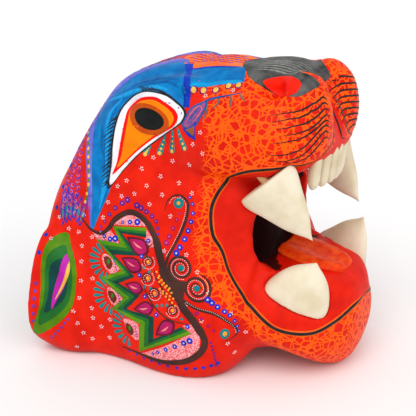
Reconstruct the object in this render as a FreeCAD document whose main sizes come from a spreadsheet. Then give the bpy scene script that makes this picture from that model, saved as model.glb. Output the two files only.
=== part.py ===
"""Carved wooden big-cat mask: a hollow head cut from one log, with ear blocks, teeth and a tongue let in.

Frame: millimetres, +Z up, the face looks along -Y, the left side of the head is +X.
The origin is on the table, under the middle of the bounding box, and the open back is the flat face at +Y.
"""

import FreeCAD, Part
import math
import os

from FreeCAD import Placement, Rotation, Vector

doc = FreeCAD.newDocument("big_cat_mask")

# ---------------------------------------------------------------- driving sizes
SIZES = [
    ("rim_depth", 117.5, "back rim plane, in front of it everything is head"),
    ("wall", 15.0, "thickness left by the gouge behind the face"),
    ("mouth_half", 50.0, "half width of the mouth's inner opening"),
    ("lip_half", 67.0, "half width of the head at the outer corner of the mouth"),
    ("ear_plane", 86.0, "half distance between the two glue faces of the ear blocks"),
    ("ear_front", 58.0, "front end of the ear glue face"),
    ("pad_wide", 24.0, "muzzle pad, half width"),
    ("pad_deep", 23.0, "muzzle pad, half depth"),
    ("pad_tall", 36.5, "muzzle pad, half height"),
    ("brow_wide", 13.0, "brow, half width"),
    ("brow_deep", 42.0, "brow, half length"),
    ("brow_tall", 12.0, "brow, half height"),
    ("eye_bulge", 10.0, "eyeball, half width"),
    ("eye_deep", 25.0, "eyeball, half length"),
    ("eye_tall", 22.0, "eyeball, half height"),
    ("nostril_deep", 15.0, "nostril, half length"),
    ("nostril_tall", 6.5, "nostril, half height"),
    ("nostril_wide", 8.0, "nostril, half width"),
    ("incisor_wide", 9.0, "width of one incisor"),
    ("incisor_thick", 8.0, "thickness of one incisor"),
    ("incisor_long", 30.0, "length of one incisor, root included"),
    ("peg_radius", 3.0, "radius of the tooth pegs"),
    ("peg_long", 22.0, "length of the tooth pegs"),
    ("dowel_radius", 4.0, "radius of the ear dowels"),
    ("dowel_long", 13.0, "length of the ear dowels"),
    ("groove_radius", 3.2, "radius of the groove between the muzzle pads"),
    ("groove_long", 52.0, "length of the groove between the muzzle pads"),
    ("tongue_thick", 6.0, "thickness of the tongue"),
    ("table_lift", 7.0, "height of the table in the drawing the outlines below are taken from"),
]
sheet = doc.addObject("Spreadsheet::Sheet", "Sizes")
for row, (alias, value, note) in enumerate(SIZES, start=1):
    sheet.set(f"A{row}", alias)
    sheet.set(f"B{row}", str(value))
    sheet.set(f"C{row}", note)
    sheet.setAlias(f"B{row}", alias)
doc.recompute()


def size(alias):
    return float(sheet.get(alias))


RIM = size("rim_depth")
WALL = size("wall")
FAR = 200.0  # reaches past the whole head, for cutters
OVERRUN = 8.0  # how far a cutter runs past a face


# ---------------------------------------------------------------- helpers
def half_loop(y, outline):
    """Outline of the left half at y, smooth through (x, z) points from the bottom to the top of the middle plane."""
    points = [Vector(x, y, z) for x, z in outline]
    curve = Part.BSplineCurve()
    curve.interpolate(Points=points, InitialTangent=Vector(1, 0, 0), FinalTangent=Vector(-1, 0, 0))
    return Part.Wire([curve.toShape(), Part.makeLine(points[-1], points[0])])


def smooth_loop(points):
    curve = Part.BSplineCurve()
    curve.interpolate(Points=points, PeriodicFlag=True)
    return Part.Wire(curve.toShape())


def station(name, wire):
    made = doc.addObject("Part::Feature", name)
    made.Shape = wire
    return made


def loft(name, wires):
    """A solid skinned over closed outlines, in order."""
    made = doc.addObject("Part::Loft", name)
    made.Sections = [station(f"{name}_station_{i}", w) for i, w in enumerate(wires)]
    made.Solid = True
    made.Ruled = False
    return made


def ellipsoid(name, centre, half_x, half_y, half_z, turn=None):
    """Half sizes are sheet aliases or numbers; turn is a Rotation about the centre."""
    made = doc.addObject("Part::Ellipsoid", name)
    for prop, value in (("Radius2", half_x), ("Radius3", half_y), ("Radius1", half_z)):
        if isinstance(value, str):
            made.setExpression(prop, f"Sizes.{value}")
        else:
            setattr(made, prop, value)
    made.Placement = Placement(Vector(*centre), turn or Rotation())
    return made


def cylinder(name, radius, height, start, direction):
    made = doc.addObject("Part::Cylinder", name)
    made.setExpression("Radius", f"Sizes.{radius}")
    made.setExpression("Height", f"Sizes.{height}")
    made.Placement = Placement(Vector(*start), Rotation(Vector(0, 0, 1), Vector(*direction)))
    return made


def box(name, low, high):
    made = doc.addObject("Part::Box", name)
    made.Length, made.Width, made.Height = (h - l for l, h in zip(low, high))
    made.Placement = Placement(Vector(*low), Rotation())
    return made


def mirror(name, base):
    """The same shape on the other side of the head."""
    made = doc.addObject("Part::Mirroring", name)
    made.Source = base
    made.Normal = Vector(1, 0, 0)
    return made


def fuse(name, shapes):
    made = doc.addObject("Part::MultiFuse", name)
    made.Shapes = shapes
    return made


def cut(name, base, tool):
    made = doc.addObject("Part::Cut", name)
    made.Base, made.Tool = base, tool
    return made


def common(name, shapes):
    made = doc.addObject("Part::MultiCommon", name)
    made.Shapes = shapes
    return made


SIDES = (("left", 1), ("right", -1))  # the left side of the head is +X

# The head is symmetric, so its left half is built and carved, and mirrored before the pieces are let in.

# ---------------------------------------------------------------- the head block
# Outlines across the head, each from under the throat up the left side to the crown: (half width, height).
CRANIUM = [
    (RIM, [(0, 10), (45, 5), (78, 4), (92, 30), (92, 64), (84, 96), (72, 120), (52, 142), (25, 156), (0, 160)]),
    (100, [(0, 10), (48, 3), (82, 4), (94, 34), (93, 74), (84, 108), (74, 140), (56, 168), (28, 184), (0, 188)]),
    (80, [(0, 10), (48, 3), (82, 4), (91, 34), (89, 80), (81, 116), (72, 152), (60, 185), (36, 209), (0, 215)]),
    (56, [(0, 10), (48, 3), (80, 4), (89, 36), (87, 80), (79, 118), (71, 156), (61, 190), (39, 221), (0, 228)]),
    (30, [(0, 10), (48, 3), (82, 4), (91, 38), (87, 80), (77, 118), (67, 154), (57, 192), (37, 226), (0, 234)]),
    (5, [(0, 10), (48, 2), (82, 2), (92, 38), (86, 78), (76, 116), (65, 150), (53, 184), (33, 216), (0, 227)]),
    (-18, [(0, 12), (46, 4), (76, 4), (89, 36), (84, 76), (74, 112), (62, 144), (48, 174), (28, 200), (0, 209)]),
    (-36, [(0, 22), (38, 13), (64, 12), (81, 40), (78, 76), (69, 108), (57, 138), (42, 162), (24, 178), (0, 183)]),
    (-50, [(0, 44), (24, 38), (46, 38), (64, 58), (67, 84), (61, 110), (50, 134), (36, 148), (18, 157), (0, 159)]),
]
SNOUT = [
    (28, [(0, 165), (30, 167), (46, 176), (50, 190), (42, 208), (30, 219), (15, 224), (0, 226)]),
    (-10, [(0, 157), (42, 158), (61, 165), (64, 182), (56, 204), (42, 221), (24, 233), (0, 235)]),
    (-35, [(0, 160), (45, 161), (61, 168), (65, 182), (58, 203), (43, 220), (24, 232), (0, 235)]),
    (-55, [(0, 162), (43, 163), (57, 169), (63, 183), (58, 203), (44, 220), (25, 232), (0, 236)]),
    (-72, [(0, 167), (38, 167), (50, 173), (57, 187), (53, 204), (41, 219), (24, 230), (0, 233)]),
    (-84, [(0, 172), (27, 172), (38, 177), (46, 190), (44, 204), (33, 216), (18, 224), (0, 226)]),
    (-92, [(0, 178), (12, 179), (21, 183), (28, 192), (27, 203), (19, 210), (9, 214), (0, 215)]),
]
JAW = [
    (-2, [(0, 14), (40, 12), (66, 26), (74, 54), (66, 80), (42, 95), (0, 97)]),
    (-34, [(0, 22), (36, 21), (62, 31), (72, 54), (67, 78), (48, 94), (0, 97)]),
    (-56, [(0, 20), (24, 21), (50, 31), (65, 49), (62, 70), (48, 89), (0, 94)]),
    (-78, [(0, 11), (18, 14), (40, 25), (58, 42), (58, 60), (47, 82), (0, 91)]),
    (-93, [(0, 6), (14, 9), (32, 19), (49, 36), (51, 55), (42, 79), (0, 88)]),
    (-106, [(0, 10), (11, 13), (26, 23), (37, 39), (38, 55), (31, 74), (0, 85)]),
    (-114, [(0, 23), (8, 25), (18, 32), (25, 43), (25, 57), (18, 70), (0, 78)]),
    (-117.5, [(0, 37), (6, 39), (11, 43), (13, 51), (12, 59), (7, 65), (0, 69)]),
]
NOSE = [
    (-12, [(0, 221), (8, 222), (13, 227), (11, 231), (0, 234)]),
    (-28, [(0, 218), (18, 219), (27, 225), (22, 233), (0, 237)]),
    (-46, [(0, 216), (22, 216), (34, 223), (26, 234), (0, 239.5)]),
    (-62, [(0, 214), (21, 214), (32, 221), (22, 232), (0, 239)]),
    (-75, [(0, 209), (11, 210), (17, 216), (11, 223), (0, 228)]),
]
cranium = loft("cranium_block", [half_loop(y, outline) for y, outline in CRANIUM])
snout = loft("snout_block", [half_loop(y, outline) for y, outline in SNOUT])
jaw = loft("jaw_block", [half_loop(y, outline) for y, outline in JAW])
nose = loft("nose_block", [half_loop(y, outline) for y, outline in NOSE])

# The ear's whole outline, seen along the head: (half width, height).
EAR = [
    (55, [(74, 20), (82, 18), (87, 28), (88, 44), (87, 62), (84, 76), (78, 84), (70, 50)]),
    (78, [(74, 10), (88, 8), (96, 18), (98, 38), (96, 62), (91, 84), (82, 94), (70, 50)]),
    (100, [(74, 8), (94, 8), (105, 22), (108, 42), (105, 66), (98, 90), (86, 103), (72, 50)]),
    (RIM, [(74, 14), (98, 16), (111, 30), (113, 48), (107, 72), (98, 92), (87, 104), (74, 50)]),
]
ear_flare = loft("ear_flare", [smooth_loop([Vector(x, y, z) for x, z in outline]) for y, outline in EAR])
muzzle_pad = ellipsoid("muzzle_pad", (23, -72, 203.5), "pad_wide", "pad_deep", "pad_tall")
brow = ellipsoid("brow", (38, 39, 213), "brow_wide", "brow_deep", "brow_tall", Rotation(Vector(1, 0, 0), -16))
eyeball = ellipsoid("eyeball", (51, 34, 196), "eye_bulge", "eye_deep", "eye_tall", Rotation(Vector(1, 0, 0), -38))
rough_half = cranium
for step, block in enumerate([snout, jaw, muzzle_pad, nose, brow, eyeball, ear_flare], start=1):
    rough_half = fuse(f"glue_up_{step}", [rough_half, block])


# ---------------------------------------------------------------- gouging it out
def inset(outline, amount):
    """The outline drawn in towards its own middle by amount."""
    middle = (outline[0][1] + outline[-1][1]) / 2
    drawn = []
    for x, z in outline:
        reach = math.hypot(x, z - middle)
        keep = (reach - amount) / reach
        drawn.append((x * keep, middle + (z - middle) * keep))
    return drawn


# The hollow narrows into the open mouth behind the face, where the wood is left thicker.
FACE_WALL = 1.4
NECK = [
    (-20, [(0, 62), (26, 62), (44, 72), (50, 96), (48, 132), (40, 164), (22, 182), (0, 186)]),
    (-45, [(0, 90), (20, 90), (37, 93), (44, 102), (45, 116), (43, 134), (34, 148), (17, 157), (0, 159)]),
    (-75, [(0, 98), (20, 98), (36, 100), (43, 106), (44, 116), (42, 132), (34, 144), (18, 151), (0, 153)]),
]
hollow_wires = [half_loop(RIM + OVERRUN, inset(CRANIUM[0][1], WALL))]
hollow_wires += [half_loop(y, inset(outline, WALL)) for y, outline in CRANIUM[1:5]]
hollow_wires.append(half_loop(CRANIUM[5][0], inset(CRANIUM[5][1], FACE_WALL * WALL)))
hollow_wires += [half_loop(y, outline) for y, outline in NECK]
face_hollow = loft("face_hollow", hollow_wires)

# The open mouth from the side, (y, z): its inner edge, and the wider edge where the cut meets the lips.
MOUTH_INNER = [
    (-160, 88), (-110, 88), (-84, 91), (-62, 94), (-50, 101), (-46, 116), (-48, 134), (-57, 152), (-84, 162),
    (-160, 165),
]
MOUTH_OUTER = [
    (-160, 58), (-112, 54), (-84, 48), (-58, 66), (-40, 90), (-27, 118), (-27, 140), (-42, 161), (-84, 177),
    (-160, 184),
]


def mouth_wire(x, profile):
    """Straight over the front, where nothing is cut, and smooth round the corner of the mouth."""
    points = [Vector(x, y, z) for y, z in profile]
    curve = Part.BSplineCurve()
    curve.interpolate(Points=points)
    return Part.Wire([curve.toShape(), Part.makeLine(points[-1], points[0])])


MOUTH = size("mouth_half")
LIP_HALF = size("lip_half")
through = loft("mouth_through", [mouth_wire(-OVERRUN, MOUTH_INNER), mouth_wire(MOUTH, MOUTH_INNER)])
flare = loft("mouth_flare", [mouth_wire(MOUTH, MOUTH_INNER), mouth_wire(LIP_HALF, MOUTH_OUTER)])
clearance = loft("mouth_clearance", [mouth_wire(LIP_HALF, MOUTH_OUTER), mouth_wire(FAR / 2, MOUTH_OUTER)])
nostril = ellipsoid(
    "nostril", (33, -56, 224), "nostril_wide", "nostril_deep", "nostril_tall", Rotation(Vector(1, 0, 0), 6)
)
GROOVE_LEAN = math.radians(14)  # the front of the muzzle leans back by this much
groove_run = (0, math.sin(GROOVE_LEAN), math.cos(GROOVE_LEAN))
groove = cylinder("philtrum_groove", "groove_radius", "groove_long", (0, -97, 176), groove_run)
below = box("table_cut", (-FAR, -FAR, -FAR), (FAR, FAR, size("table_lift")))
other_side = box("other_side", (-FAR, -FAR, -FAR), (0, FAR, 2 * FAR))
carved_half = rough_half
for step, tool in enumerate([face_hollow, through, flare, clearance, nostril, groove, below, other_side], start=1):
    carved_half = cut(f"carving_cut_{step}", carved_half, tool)

EAR_PLANE = size("ear_plane")
ear_side = box("ear_side", (EAR_PLANE, size("ear_front"), -OVERRUN), (FAR, RIM + OVERRUN, FAR))
face_half = cut("face_half", carved_half, ear_side)
ear_block = common("ear_block", [carved_half, ear_side])
whole_face = fuse("whole_face", [face_half, mirror("face_half_mirrored", face_half)])
ear_blocks = {"left": ear_block, "right": mirror("ear_block_mirrored", ear_block)}


# ---------------------------------------------------------------- teeth
def horn(name, root, tip, broad, thin, taper, turn):
    """A cone from root to tip. broad is its half width along the jaw, thin its half thickness, at the root.

    turn is how far the tooth's outer face is turned towards the front, in degrees.
    """
    root, tip = Vector(*root), Vector(*tip)
    run = tip - root
    along = Vector(run).normalize()
    outward = Vector(math.copysign(math.cos(math.radians(turn)), root.x), -math.sin(math.radians(turn)), 0)
    across = outward - along * along.dot(outward)
    across.normalize()
    fore = along.cross(across)
    wires = []
    for share in (0, 0.28, 0.55, 0.8, 0.94, 1.0):
        girth = max(1 - share**taper, 0.05)
        centre = root + run * share
        ring = [
            centre + across * (thin * girth * math.cos(a)) + fore * (broad * girth * math.sin(a))
            for a in (math.pi / 5 * k for k in range(10))
        ]
        wires.append(smooth_loop(ring))
    return loft(name, wires)


# name: root centre, tip, half width along the jaw, half thickness, taper (a larger number is blunter), turn
CANINES = {
    "upper_canine_left": ((51, -57, 163), (45, -93, 122), 24, 13, 1.5, 10),
    "upper_canine_right": ((-51, -57, 163), (-45, -93, 122), 24, 13, 1.5, 10),
    "lower_canine_left": ((42, -79, 74), (44, -98, 112), 25, 11, 1.6, 18),
    "lower_canine_right": ((-43, -79, 70), (-44, -96, 106), 25, 13, 2.2, 20),
}
horns = {n: horn(f"{n}_horn", *facts) for n, facts in CANINES.items()}
pegs = {}
for name, (root, tip, *_) in CANINES.items():
    down = Vector(*root) - Vector(*tip)
    down.normalize()
    start = Vector(*root) - down * (size("peg_long") * 0.4)
    pegs[name] = cylinder(f"{name}_peg_stock", "peg_radius", "peg_long", tuple(start), tuple(down))

INCISORS = 6
INCISOR_PITCH = size("incisor_wide") + 0.9
ARC_FRONT, ARC_CURVE = -88.0, 0.007  # foremost incisor, and how fast the row curves back
TIP_HEIGHT = 153.0  # where the row's tips lie
incisors = []
for i in range(INCISORS):
    x = (i - (INCISORS - 1) / 2) * INCISOR_PITCH
    y = ARC_FRONT + ARC_CURVE * x * x
    turn = math.atan(2 * ARC_CURVE * x)
    wires = []
    for share, girth, lean in ((0, 0.30, 1.6), (0.06, 0.66, 1.2), (0.2, 0.94, 0.8), (0.5, 1.0, 0.2), (1.0, 0.9, 0)):
        z = TIP_HEIGHT + share * size("incisor_long")
        across = Vector(math.cos(turn), math.sin(turn), 0) * (size("incisor_wide") / 2 * girth)
        fore = Vector(-math.sin(turn), math.cos(turn), 0) * (size("incisor_thick") / 2 * girth)
        middle = Vector(x, y + lean, z)
        ring = []
        for k in range(12):
            a = math.pi / 6 * k
            square = 1 / max(abs(math.cos(a)), abs(math.sin(a))) ** 0.5  # rounder than a square
            ring.append(middle + across * (math.cos(a) * square) + fore * (math.sin(a) * square))
        wires.append(smooth_loop(ring))
    incisors.append(loft(f"incisor_{i + 1}_stock", wires))

# ---------------------------------------------------------------- tongue
TONGUE = [(-52, 18, 99), (-64, 22, 97), (-80, 22, 94), (-94, 18, 91.5), (-103, 10, 89)]  # y, half width, crest
tongue_wires = []
for y, half, crest in TONGUE:
    deep = size("tongue_thick")
    under = crest - deep
    ring = [(0, under), (half * 0.7, under), (half, crest - deep * 0.4), (half * 0.6, crest + 1.2), (0, crest)]
    tongue_wires.append(half_loop(y, ring))
tongue_half = loft("tongue_half", tongue_wires)
tongue_stock = fuse("tongue_stock", [tongue_half, mirror("tongue_half_mirrored", tongue_half)])

# ---------------------------------------------------------------- ear dowels
DOWEL_SHARE = 0.42  # how much of a dowel sits in the head, the rest in the ear
DOWEL_LEVELS = {"lower": 32, "upper": 66}  # heights in the drawing
dowels = {}
for side_name, side in SIDES:
    for level, z in DOWEL_LEVELS.items():
        start = (side * (EAR_PLANE - DOWEL_SHARE * size("dowel_long")), 100, z)
        dowels[f"{side_name}_ear_dowel_{level}"] = cylinder(
            f"{side_name}_{level}_dowel_stock", "dowel_radius", "dowel_long", start, (side, 0, 0)
        )

# ---------------------------------------------------------------- fitting the pieces together
let_in = fuse("let_in", [*horns.values(), *incisors, tongue_stock, *pegs.values()])
all_dowels = fuse("all_dowels", list(dowels.values()))
parts = {"head_shell": cut("head_shell", cut("seated_face", whole_face, let_in), all_dowels)}
for side_name, block in ear_blocks.items():
    parts[f"{side_name}_ear"] = cut(f"{side_name}_ear", block, all_dowels)
peg_all = fuse("all_pegs", list(pegs.values()))
for name, made in horns.items():
    parts[name] = cut(name, made, peg_all)
    parts[f"{name}_peg"] = pegs[name]
for i, made in enumerate(incisors):
    parts[f"upper_incisor_{i + 1}"] = made
parts["tongue"] = tongue_stock
parts.update(dowels)
doc.recompute()

# ---------------------------------------------------------------- checks and export
for made in doc.Objects:
    if "Invalid" in made.State or "Error" in made.State:
        raise RuntimeError(f"{made.Name} failed: {made.State}")
os.makedirs("parts", exist_ok=True)
for name, made in parts.items():
    made.Label = name
    made.Placement = Placement(Vector(0, 0, -size("table_lift")), Rotation()) * made.Placement
doc.recompute()
for name, made in parts.items():
    shape = made.Shape
    if shape.isNull() or not shape.isValid():
        raise RuntimeError(f"{name} is null or not valid")
    print(f"{name:24s} solids {len(shape.Solids)} volume {shape.Volume / 1000:8.2f} cm3 {shape.BoundBox}")
    shape.exportStep(f"parts/{name}.step")
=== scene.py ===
import math
import random

import bmesh
import bpy
from mathutils import Matrix, Vector, kdtree
from mathutils.bvhtree import BVHTree


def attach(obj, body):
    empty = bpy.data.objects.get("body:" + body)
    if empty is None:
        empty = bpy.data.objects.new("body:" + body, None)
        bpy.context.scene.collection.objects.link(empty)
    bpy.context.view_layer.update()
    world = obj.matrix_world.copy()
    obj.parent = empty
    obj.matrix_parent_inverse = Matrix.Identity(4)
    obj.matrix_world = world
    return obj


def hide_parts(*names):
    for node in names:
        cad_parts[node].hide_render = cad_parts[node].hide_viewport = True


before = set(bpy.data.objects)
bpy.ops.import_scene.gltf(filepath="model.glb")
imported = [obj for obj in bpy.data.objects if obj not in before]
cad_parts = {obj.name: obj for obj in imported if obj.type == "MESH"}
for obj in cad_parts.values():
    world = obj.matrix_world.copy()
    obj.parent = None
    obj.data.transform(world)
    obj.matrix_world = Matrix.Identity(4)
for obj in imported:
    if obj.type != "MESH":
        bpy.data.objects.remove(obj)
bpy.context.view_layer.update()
MM = 0.001


# ---------------------------------------------------------------- head
# The head is a hollow wood carving with the ears glued on at the sides.
# It is filled, sanded round and given a red ground coat, with an orange
# crackle of small chips over the muzzle and along the lips. Inside the
# hollow the red turns dark brown-red, as painted shade for the unlit inside.

HEAD_FACET = 2.0 * MM
HEAD_SANDING = 10
RED = (230, 32, 6)
DEEP_RED = (208, 22, 4)
CRACKLE_ORANGE = (255, 92, 4)
CRACKLE_CELL = 7.4 * MM
CRACKLE_LINE = 0.06
PAINT_GLOSS = 0.1
# dark brown-red painted shade for the unlit inside of the hollow
HOLLOW_SHADE = (58, 12, 10)
CRACKLE_EDGE = [(3, 228), (-4, 202), (-13, 184), (-11, 165), (-6, 137), (-9, 106),
                (-17, 78), (-32, 66), (-44, 55), (-56, 36), (-66, 20), (-74, 0)]
LIP_SIDE = [(-91, 176), (-86, 171), (-79, 170), (-67, 169), (-50, 166), (-36, 160), (-26, 151), (-21, 140),
            (-20, 130), (-24, 115), (-31, 102), (-38, 87), (-49, 70), (-62, 54), (-76, 46), (-96, 44),
            (-108, 50), (-115, 57), (-130, 62), (-130, 177)]
VALLEY_TOP, VALLEY_FOOT, VALLEY_WIDE = (-79, 212), (-95, 177), 11.0
CREASE_INNER, CREASE_OUTER, CREASE_FOOT = 15 * MM, 47 * MM, 204 * MM
CREASE_FRONT, CREASE_BACK, CREASE_SANDING = -86 * MM, -22 * MM, 16
VALLEY_EDGE = (2.0, 0.28)  # half width of the smooth red strip at the top, and how fast it widens downwards


def welded(name, nodes):
    """One object with the welded shapes of several CAD nodes."""
    build = bmesh.new()
    for node in nodes:
        build.from_mesh(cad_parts[node].data)
    bmesh.ops.remove_doubles(build, verts=build.verts, dist=0.01 * MM)
    return finished(name, build)


def finished(name, build):
    """Turns a bmesh into an object in the scene."""
    mesh = bpy.data.meshes.new(name)
    build.to_mesh(mesh)
    build.free()
    mesh.polygons.foreach_set("use_smooth", [True] * len(mesh.polygons))
    piece = bpy.data.objects.new(name, mesh)
    bpy.context.scene.collection.objects.link(piece)
    return piece


def sanded(piece, facet, rounds):
    """Rebuilds a piece in even facets and rounds its edges, as sandpaper does."""
    even = piece.modifiers.new("even", "REMESH")
    even.mode = "VOXEL"
    even.voxel_size = facet
    sandpaper = piece.modifiers.new("sandpaper", "SMOOTH")
    sandpaper.factor = 0.5
    sandpaper.iterations = rounds
    depsgraph = bpy.context.evaluated_depsgraph_get()
    mesh = bpy.data.meshes.new_from_object(piece.evaluated_get(depsgraph))
    piece.modifiers.clear()
    piece.data = mesh
    mesh.polygons.foreach_set("use_smooth", [True] * len(mesh.polygons))


def paint_colour(red, green, blue):
    """A shader colour from the 0-255 numbers on a paint card."""
    share = [value / 255 for value in (red, green, blue)]
    return [s / 12.92 if s <= 0.04045 else ((s + 0.055) / 1.055) ** 2.4 for s in share] + [1.0]


def coat(name, light, dark, roughness=0.42, patch_size=14 * MM, brush=0.12):
    """Satin paint that drifts between two close shades, with faint brush ridges."""
    material = bpy.data.materials.new(name)
    material.use_nodes = True
    nodes, links = material.node_tree.nodes, material.node_tree.links
    shader = nodes["Principled BSDF"]
    shader.inputs["Roughness"].default_value = roughness
    shader.inputs["Specular IOR Level"].default_value = PAINT_GLOSS
    place = nodes.new("ShaderNodeTexCoord")
    drift = nodes.new("ShaderNodeTexNoise")
    drift.inputs["Scale"].default_value = 1 / patch_size
    drift.inputs["Detail"].default_value = 4
    links.new(place.outputs["Object"], drift.inputs["Vector"])
    shade = nodes.new("ShaderNodeValToRGB")
    shade.color_ramp.elements[0].position = 0.35
    shade.color_ramp.elements[0].color = paint_colour(*dark)
    shade.color_ramp.elements[1].position = 0.65
    shade.color_ramp.elements[1].color = paint_colour(*light)
    links.new(drift.outputs["Fac"], shade.inputs["Fac"])
    links.new(shade.outputs["Color"], shader.inputs["Base Color"])
    bristle = nodes.new("ShaderNodeTexNoise")
    bristle.inputs["Scale"].default_value = 1 / (1.6 * MM)
    bristle.inputs["Detail"].default_value = 3
    links.new(place.outputs["Object"], bristle.inputs["Vector"])
    ridge = nodes.new("ShaderNodeBump")
    ridge.inputs["Strength"].default_value = brush
    ridge.inputs["Distance"].default_value = 0.4 * MM
    links.new(bristle.outputs["Fac"], ridge.inputs["Height"])
    links.new(ridge.outputs["Normal"], shader.inputs["Normal"])
    return material


def inside_outline(y, z, outline):
    """Whether a point seen from the side lies inside a closed outline."""
    inside = False
    for (y1, z1), (y2, z2) in zip(outline, outline[1:] + outline[:1]):
        if (z1 > z) != (z2 > z) and y < y1 + (z - z1) / (z2 - z1) * (y2 - y1):
            inside = not inside
    return inside


def crackle_limit(z):
    """How far back the crackle reaches at height z, in mm."""
    if z >= CRACKLE_EDGE[0][1]:
        return CRACKLE_EDGE[0][0]
    for (y1, z1), (y2, z2) in zip(CRACKLE_EDGE, CRACKLE_EDGE[1:]):
        if z2 <= z <= z1:
            return y2 + (z - z2) / (z1 - z2) * (y1 - y2)
    return CRACKLE_EDGE[-1][0]


head = welded("painted_head", ["head_shell", "left_ear", "right_ear"])
sanded(head, HEAD_FACET, HEAD_SANDING)
whole = bmesh.new()
whole.from_mesh(head.data)
bmesh.ops.symmetrize(whole, input=whole.verts[:] + whole.edges[:] + whole.faces[:],
                     direction="-X", dist=0.1 * MM)
for vertex in whole.verts:  # the two muzzle pads meet in a valley that leans back under the nose
    x, y, z = vertex.co / MM
    if y < -60 and VALLEY_FOOT[1] - 8 < z < VALLEY_TOP[1] + 8:
        share = min(1.0, max(0.0, (z - VALLEY_FOOT[1]) / (VALLEY_TOP[1] - VALLEY_FOOT[1])))
        floor = VALLEY_FOOT[0] + share * (VALLEY_TOP[0] - VALLEY_FOOT[0])
        vertex.co.y += max(0.0, floor - y) * math.exp(-((x / VALLEY_WIDE) ** 2)) * MM
bmesh.ops.smooth_vert(whole, verts=whole.verts[:], factor=0.5,
                      use_axis_x=True, use_axis_y=True, use_axis_z=True)
crease = [v for v in whole.verts if CREASE_INNER < abs(v.co.x) < CREASE_OUTER and v.co.z > CREASE_FOOT
          and CREASE_FRONT < v.co.y < CREASE_BACK]
for _ in range(CREASE_SANDING):  # nose and pads are rounded into each other
    bmesh.ops.smooth_vert(whole, verts=crease, factor=0.5, use_axis_x=True, use_axis_y=True, use_axis_z=True)
whole.to_mesh(head.data)
whole.free()
head_skin = BVHTree.FromObject(head, bpy.context.evaluated_depsgraph_get())

crackle = head.data.attributes.new("crackle", "FLOAT", "POINT")
hollow = head.data.attributes.new("hollow", "FLOAT", "POINT")
AWAY = 0.5 * MM
WAYS_OUT = [Vector(way) for way in ((1, 0, 0), (-1, 0, 0), (0, 0, 1), (0, 0, -1), (0, -1, 0))]
for vertex in head.data.vertices:
    x, y, z = vertex.co / MM
    in_valley = y < -70 and z > 150 and abs(x) < VALLEY_EDGE[0] + (VALLEY_FOOT[1] + 34 - z) * VALLEY_EDGE[1]
    if not inside_outline(y, z, LIP_SIDE) and not in_valley:
        crackle.data[vertex.index].value = max(0.0, min(1.0, (crackle_limit(z) - y) / 8))
    # vertices walled in on every side lie inside the hollow, which is given painted shade
    start = vertex.co + vertex.normal * AWAY
    if all(head_skin.ray_cast(start, way)[0] for way in WAYS_OUT):
        hollow.data[vertex.index].value = 1.0

red_ground = coat("red_ground", RED, DEEP_RED)
nodes, links = red_ground.node_tree.nodes, red_ground.node_tree.links
shader = nodes["Principled BSDF"]
place = nodes["Texture Coordinate"]
ground = shader.inputs["Base Color"].links[0].from_socket
wobble = nodes.new("ShaderNodeTexNoise")
wobble.inputs["Scale"].default_value = 1 / (5 * MM)
links.new(place.outputs["Object"], wobble.inputs["Vector"])
shaky = nodes.new("ShaderNodeVectorMath")
shaky.operation = "MULTIPLY_ADD"
shaky.inputs[1].default_value = (2.0 * MM,) * 3
links.new(wobble.outputs["Color"], shaky.inputs[0])
links.new(place.outputs["Object"], shaky.inputs[2])
nets = []
for shift in (0.0, 0.031):  # two nets of lines over each other leave three- and four-sided chips
    moved = nodes.new("ShaderNodeVectorMath")
    moved.operation = "ADD"
    moved.inputs[1].default_value = (shift, shift * 0.7, shift * 0.4)
    links.new(shaky.outputs[0], moved.inputs[0])
    chips = nodes.new("ShaderNodeTexVoronoi")
    chips.feature = "DISTANCE_TO_EDGE"
    chips.inputs["Scale"].default_value = 1 / CRACKLE_CELL
    links.new(moved.outputs[0], chips.inputs["Vector"])
    nets.append(chips.outputs["Distance"])
nearer = nodes.new("ShaderNodeMath")
nearer.operation = "MINIMUM"
links.new(nets[0], nearer.inputs[0])
links.new(nets[1], nearer.inputs[1])
spread = nodes.new("ShaderNodeAttribute")
spread.attribute_name = "crackle"
width = nodes.new("ShaderNodeMath")
width.operation = "MULTIPLY"
width.inputs[1].default_value = CRACKLE_LINE
links.new(spread.outputs["Fac"], width.inputs[0])
line = nodes.new("ShaderNodeMath")
line.operation = "LESS_THAN"
links.new(nearer.outputs[0], line.inputs[0])
links.new(width.outputs[0], line.inputs[1])
net = nodes.new("ShaderNodeMix")
net.data_type = "RGBA"
net.inputs["B"].default_value = paint_colour(*CRACKLE_ORANGE)
links.new(line.outputs[0], net.inputs["Factor"])
links.new(ground, net.inputs["A"])
# inside the hollow the colour is mixed to a dark brown-red: painted shade
dark = nodes.new("ShaderNodeAttribute")
dark.attribute_name = "hollow"
inner = nodes.new("ShaderNodeMix")
inner.data_type = "RGBA"
inner.inputs["B"].default_value = paint_colour(*HOLLOW_SHADE)
links.new(dark.outputs["Fac"], inner.inputs["Factor"])
links.new(net.outputs["Result"], inner.inputs["A"])
links.new(inner.outputs["Result"], shader.inputs["Base Color"])
head.data.materials.clear()
head.data.materials.append(red_ground)
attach(head, "root")
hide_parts("head_shell", "left_ear", "right_ear")


# ---------------------------------------------------------------- brow
# Over each eye a raised brow is painted blue, with a violet rim, streaks of
# light and dark blue along the brush, and rows of fine black lashes.


def on_left(*places):
    """Points on the left of the head from their (y, z) places, as seen straight from that side."""
    return [head_skin.ray_cast(Vector((-200, y, z)) * MM, Vector((1, 0, 0)))[0] / MM for y, z in places]


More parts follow.
